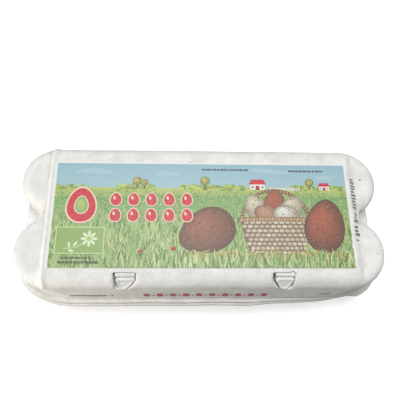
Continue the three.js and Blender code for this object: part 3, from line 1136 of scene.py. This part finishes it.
def drawFlowers(sheet, draw):
    for k in range(flowerCount):
        x, y = draw.uniform(-60, 96), draw.uniform(-36, -26)
        ink = draw.choice(["yellow", "white", "yellow", "cream"])
        if x < -58 and y < -20:
            continue
        sheet.fill(ellipse(x, y, 0.6, 0.5, 0, 8), ink)
    sheet.nextLayer()
    for x, y in poppies:
        for side in (-0.7, 0.7):
            sheet.fill(ellipse(x + side, y, 1.25, 1.05, side, 10), "red")
        sheet.nextLayer()
        sheet.fill(ellipse(x, y - 0.1, 0.45, 0.4, 0, 8), "brownDeep")
    sheet.nextLayer()


draw = random.Random(picture["seed"])
ground = inkSheet("print_ground", 0)
drawGround(ground, landscape, draw)
drawHedges(ground, draw)
for barnX, barnSize in barns:
    drawBarn(ground, barnX, barnSize)
drawFence(ground, fence)
trimToPicture(ground.finished())
print("printed ground drawn, layers up to", ground.layer)


# grass blades of the printed meadow, spread by Geometry Nodes

grass = {
    "print_grass_far": {
        "left": -98.5, "right": 99.4, "bottom": -9, "top": 14, "density": 0.6, "lean": 1.7,
        "small": 0.2, "large": 0.5, "seed": 3,
    },
    "print_grass": {
        "left": -98.5, "right": 99.4, "bottom": -40, "top": -5, "density": 0.7, "lean": 0.5,
        "small": 0.3, "large": 0.95, "seed": 5,
    },
    "print_grass_front": {
        "left": -60, "right": 99.4, "bottom": -42, "top": -32.5, "density": 0.5, "lean": 0.4,
        "small": 0.7, "large": 1.3, "seed": 9,
    },
}
grassDepth = 12  # layers that the blades of one meadow take up
bladeShape = {"length": 7.2, "width": 0.8}
bladeInks = [
    (0.0, printInk(88, 112, 62)),
    (0.2, printInk(120, 154, 86)),
    (0.5, printInk(156, 194, 124)),
    (0.72, printInk(184, 206, 138)),
    (0.92, printInk(220, 234, 182)),
    (1.0, printInk(206, 204, 126)),
]


bladeInputs = {
    "Geometry": ("Blade",),
    "Float": ("Length", "Depth", "Density", "Lean", "Small", "Large", "Thickness"),
    "Vector": ("Centre",),
    "Int": ("Seed",),
    "Material": ("Material",),
}


def bladeTree():
    tree = bpy.data.node_groups.new("meadowBlades", "GeometryNodeTree")
    for kind, names in bladeInputs.items():
        for name in names:
            groupSocket(tree, name, "INPUT", "NodeSocket" + kind)
    groupSocket(tree, "Blades", "OUTPUT", "NodeSocketGeometry")
    given = addNode(tree, "NodeGroupInput").outputs

    def randomValue(low, high, seed):
        node = addNode(tree, "FunctionNodeRandomValue", {"Seed": seed}, data_type="FLOAT")
        feed(tree, node.inputs[2:4], (low, high))
        return node.outputs[1]

    field = addNode(tree, "GeometryNodeMeshGrid", {"Size X": given["Length"], "Size Y": given["Depth"]})
    inputs = {"Mesh": field.outputs["Mesh"], "Density": given["Density"], "Seed": given["Seed"]}
    spread = addNode(tree, "GeometryNodeDistributePointsOnFaces", inputs)
    lift = addNode(tree, "ShaderNodeCombineXYZ", {"Z": randomValue(0, given["Thickness"], 4)})
    shift = addNode(tree, "ShaderNodeVectorMath", operation="ADD")
    feed(tree, shift.inputs, (lift.outputs["Vector"], given["Centre"]))
    inputs = {"Geometry": spread.outputs["Points"], "Offset": shift.outputs["Vector"]}
    move = addNode(tree, "GeometryNodeSetPosition", inputs)
    lean = given["Lean"]
    turn = addNode(tree, "ShaderNodeCombineXYZ", {"Z": randomValue(scaled(tree, lean, -1), lean, 1)})
    place = addNode(tree, "GeometryNodeInstanceOnPoints", {
        "Points": move.outputs["Geometry"],
        "Instance": given["Blade"],
        "Rotation": turn.outputs["Vector"],
        "Scale": randomValue(given["Small"], given["Large"], 2),
    })
    ramp = addNode(tree, "ShaderNodeValToRGB", {"Fac": randomValue(0, 1, 3)})
    while len(ramp.color_ramp.elements) < len(bladeInks):
        ramp.color_ramp.elements.new(0.5)
    for element, (position, ink) in zip(ramp.color_ramp.elements, bladeInks):
        element.position = position
        element.color = ink
    store = addNode(tree, "GeometryNodeStoreNamedAttribute", {
        "Geometry": place.outputs["Instances"],
        "Name": "ink",
        "Value": ramp.outputs["Color"],
    }, data_type="FLOAT_COLOR", domain="INSTANCE")
    realize = addNode(tree, "GeometryNodeRealizeInstances", {"Geometry": store.outputs["Geometry"]})
    inputs = {"Geometry": realize.outputs["Geometry"], "Material": given["Material"]}
    finish = addNode(tree, "GeometryNodeSetMaterial", inputs)
    addNode(tree, "NodeGroupOutput", {"Blades": finish.outputs["Geometry"]})
    return tree


def bladeMesh(shape):
    length, half = shape["length"] * mm, shape["width"] * mm / 2
    outline = ((-0.7, 0), (0.7, 0), (1, 0.4), (-1, 0.4), (0.75, 0.75), (-0.25, 0.75), (0.6, 1))
    places = [(half * x, length * y, 0) for x, y in outline]
    mesh = bpy.data.meshes.new("blade")
    mesh.from_pydata(places, [], [(0, 1, 2, 3), (3, 2, 4, 5), (5, 4, 6)])
    return mesh


def growGrass(name, plan, tree, layer):
    piece = freshPiece(name, bladeMesh(bladeShape))
    modifier = piece.modifiers.new("blades", "NODES")
    modifier.node_group = tree
    middle = {"x": (plan["left"] + plan["right"]) / 2, "y": (plan["bottom"] + plan["top"]) / 2}
    values = {
        "Length": (plan["right"] - plan["left"]) * mm,
        "Depth": (plan["top"] - plan["bottom"]) * mm,
        "Density": plan["density"] / mm ** 2,
        "Lean": plan["lean"],
        "Small": plan["small"],
        "Large": plan["large"],
        "Thickness": grassDepth * picture["layer"],
        "Centre": (middle["x"] * mm, middle["y"] * mm, layerHeight(layer)),
        "Seed": plan["seed"],
        "Material": printedPaper,
    }
    for item in tree.interface.items_tree:
        if item.in_out == "INPUT" and item.name in values:
            modifier[item.identifier] = values[item.name]
    bakeModifiers(piece)
    trimToPicture(piece)
    finishPrint(piece)


blades = bladeTree()
lowest = ground.layer + 1
growGrass("print_grass_far", grass["print_grass_far"], blades, lowest)
growGrass("print_grass", grass["print_grass"], blades, lowest + grassDepth + 1)

motifs = inkSheet("print_motifs", lowest + 2 * (grassDepth + 2))
drawHandle(motifs, basket)
for egg in eggs[2:]:
    drawEgg(motifs, egg, draw)
drawBasket(motifs, basket, draw)
for egg in eggs[:2]:
    drawEgg(motifs, egg, draw)
for centre, reach in straw["heaps"]:
    drawStraw(motifs, centre, reach, straw["base"], straw["count"], draw)
drawRedEggs(motifs, redEggs)
drawBadge(motifs, badge)
for rule in rules:
    drawRule(motifs, *rule, draw)
drawFlowers(motifs, draw)
trimToPicture(motifs.finished())
growGrass("print_grass_front", grass["print_grass_front"], blades, motifs.layer + 1)
print("printed meadow and motifs drawn, layers up to", motifs.layer)


# stamped marks on the bare pulp: small red eggs along the front, thin dark rules, dashes at the right

stamps = {
    "lift": 0.13 * mm, "reach": 0.2,
    "red": srgb(180, 74, 92), "grey": srgb(100, 97, 90), "faint": srgb(150, 146, 138),
}
frontStamps = {
    "eggCount": 10, "eggLeft": -37, "eggRight": 43, "eggHeight": 44, "eggSize": (4.8, 7.2), "dotSize": 0.7,
    "ruleLeft": -89, "ruleRight": -64, "ruleHeight": 41.2, "ruleWidth": 2.2, "ruleSteps": 24,
    "dotX": -60.5, "ruleDot": (0.9, 1.5),
    "creaseLeft": 80, "creaseRight": 89, "creaseHeight": 44, "creaseWidth": 1.1,
}
sideStamps = {
    "back": 26.5, "front": -19, "backX": 106.0, "frontX": 105.1, "left": -2.7, "right": 1.3,
    "cuts": (0, 0, 0.5, 1.2), "gaps": 0.12, "speck": (112, 26, 0.7),
}


def stampOn(target, outlines, direction, name):
    # lays flat outlines, each with its ink, on the pulp surface along a direction
    tree = BVHTree.FromObject(target, bpy.context.evaluated_depsgraph_get())
    places, faces, colours = [], [], []
    for points, ink in outlines:
        centre = sum(points, Vector()) / len(points)
        found = []
        for point in [centre] + points:
            hit, normal, index, distance = tree.ray_cast(point - direction * stamps["reach"], direction)
            if hit is None:
                break
            found.append(hit + normal * stamps["lift"])
        if len(found) < len(points) + 1:
            continue
        start = len(places)
        places += found
        colours += [ink] * len(found)
        count = len(points)
        for i in range(count):
            corners = [start, start + 1 + i, start + 1 + (i + 1) % count]
            a, b, c = (places[k] for k in corners)
            if (b - a).cross(c - a).dot(direction) > 0:
                corners.reverse()
            faces.append(corners)
    return inkedPiece(name, places, faces, colours)


def frontPoints(points):
    return [Vector((x * mm, 0, z * mm)) for x, z in points]


def topPoints(points):
    return [Vector((x * mm, y * mm, 0)) for x, y in points]


def frontMarks(plan, draw):
    # small red eggs, a thin dark rule with its dot, and a faint row of creases
    marks = []
    pitch = (plan["eggRight"] - plan["eggLeft"]) / (plan["eggCount"] - 1)
    for i in range(plan["eggCount"]):
        x = plan["eggLeft"] + pitch * i
        marks.append((eggOutline(x, plan["eggHeight"], *plan["eggSize"], 0.1, 16), stamps["red"]))
        if i < plan["eggCount"] - 1:
            dot = ellipse(x + pitch / 2, plan["eggHeight"] - 1, plan["dotSize"], 2 * plan["dotSize"], 0, 10)
            marks.append((dot, stamps["red"]))
    for i in range(plan["ruleSteps"]):
        x = plan["ruleLeft"] + (plan["ruleRight"] - plan["ruleLeft"]) * i / plan["ruleSteps"]
        length = (plan["ruleRight"] - plan["ruleLeft"]) / plan["ruleSteps"]
        z = plan["ruleHeight"]
        marks.append((rectangle(x, z, x + length, z + plan["ruleWidth"]), stamps["grey"]))
    middle = plan["ruleHeight"] + plan["ruleWidth"] / 2
    marks.append((ellipse(plan["dotX"], middle, *plan["ruleDot"], 0, 10), stamps["grey"]))
    x = plan["creaseLeft"]
    while x < plan["creaseRight"]:
        z = plan["creaseHeight"]
        marks.append((rectangle(x, z, x + plan["creaseWidth"], z + draw.uniform(2, 4)), stamps["faint"]))
        x += draw.uniform(1.6, 2.2)
    return [(frontPoints(points), ink) for points, ink in marks]


def sideMarks(plan, draw):
    # a row of short dashes beside the label's right edge, and a speck
    marks = []
    y = plan["front"]
    while y < plan["back"]:
        length = draw.uniform(1.0, 1.9)
        share = (y - plan["front"]) / (plan["back"] - plan["front"])
        x = plan["frontX"] + (plan["backX"] - plan["frontX"]) * share
        cut = draw.choice(plan["cuts"])
        right = x + plan["right"] - cut
        ink = mixInks(stamps["grey"], stamps["faint"], draw.random())
        if draw.random() > plan["gaps"]:
            marks.append((rectangle(x + plan["left"], y, right, y + length), ink))
        y += length + draw.uniform(0.7, 1.1)
    speckX, speckY, speckSize = plan["speck"]
    marks.append((ellipse(speckX, speckY, speckSize, speckSize, 0, 8), stamps["grey"]))
    return [(topPoints(points), ink) for points, ink in marks]


lid = pulpPieces["lid"]
stampOn(lid, frontMarks(frontStamps, draw), Vector((0, 1, 0)), "stamps_front")
stampOn(lid, sideMarks(sideStamps, draw), Vector((0, 0, -1)), "stamps_side")
print("stamps laid")
